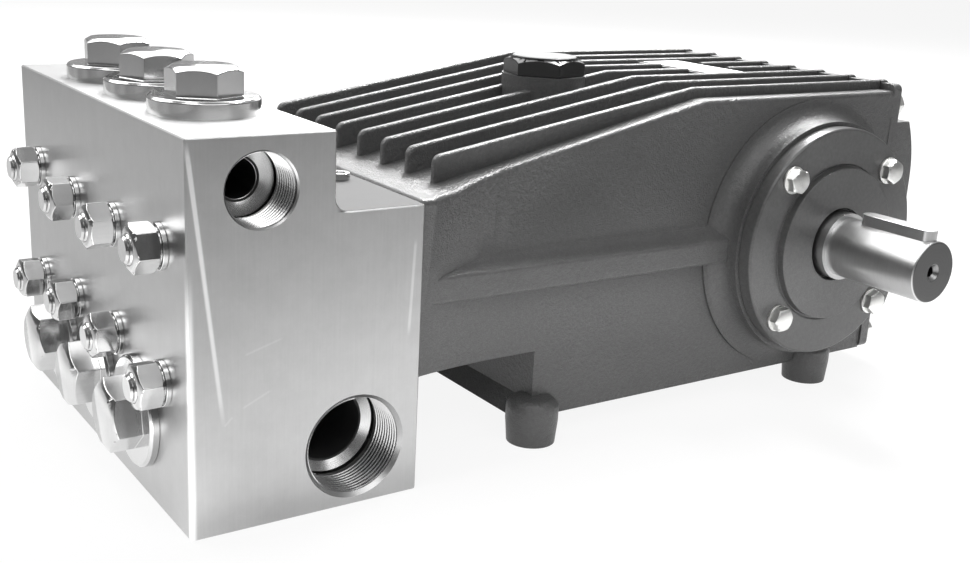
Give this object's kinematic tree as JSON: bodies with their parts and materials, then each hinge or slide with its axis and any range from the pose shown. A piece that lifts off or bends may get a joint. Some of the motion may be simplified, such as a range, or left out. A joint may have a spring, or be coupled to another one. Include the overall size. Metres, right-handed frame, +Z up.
{
  "type": "plunger pump",
  "caption": "High-pressure plunger pump: drilled stainless manifold block with valve plugs on a finned cast crankcase, with a keyed shaft end on each side.",
  "frame": {"origin": "on the floor, at the centre of the four tapped holes in the feet", "axes": "+X along the crankshaft to the right-hand shaft end, +Y from the manifold to the rear cover, +Z up"},
  "size_m": [0.396, 0.5295, 0.2015],
  "materials": {
    "satin_stainless": "satin machined stainless steel",
    "bright_steel": "bright turned stainless steel",
    "casing_paint": "semi-gloss dark grey paint over a sand casting",
    "zinc_bolts": "bright zinc plated steel",
    "shaft_steel": "ground steel",
    "seal_rubber": "black rubber",
    "level_glass": "clear",
    "cap_plastic": "gloss black moulded plastic",
    "plate_aluminium": "satin bare aluminium plate"
  },
  "bodies": {
    "root": {"bearing_cover_left": "casing_paint", "bearing_cover_right": "casing_paint", "bleed_screws": "bright_steel", "cover_bolts_left": "zinc_bolts", "cover_bolts_right": "zinc_bolts", "crankcase": "casing_paint", "discharge_valve_plug_1": "bright_steel", "discharge_valve_plug_2": "bright_steel", "discharge_valve_plug_3": "bright_steel", "main_bearing_left": "shaft_steel", "main_bearing_right": "shaft_steel", "manifold_block": "satin_stainless", "manifold_studs_lower": "bright_steel", "manifold_studs_upper": "bright_steel", "nameplate": "plate_aluminium", "oil_filler_cap": "cap_plastic", "oil_level_glass": "level_glass", "oil_level_glass_rim": "bright_steel", "rear_cover": "casing_paint", "rear_cover_bolts": "zinc_bolts", "shaft_seal_left": "seal_rubber", "shaft_seal_right": "seal_rubber", "stud_nut_lower_1": "bright_steel", "stud_nut_lower_2": "bright_steel", "stud_nut_lower_3": "bright_steel", "stud_nut_lower_4": "bright_steel", "stud_nut_upper_1": "bright_steel", "stud_nut_upper_2": "bright_steel", "stud_nut_upper_3": "bright_steel", "stud_nut_upper_4": "bright_steel", "suction_valve_plug_1": "bright_steel", "suction_valve_plug_2": "bright_steel", "suction_valve_plug_3": "bright_steel"},
    "crankshaft": {"crankshaft": "shaft_steel", "shaft_key_left": "shaft_steel", "shaft_key_right": "shaft_steel"}
  },
  "joints": [
    {"name": "crankshaft_spin", "type": "hinge", "parent": "root", "child": "crankshaft", "pos_m": [0, 0.089, 0.0965], "axis": [1, 0, 0], "continuous": true}
  ]
}
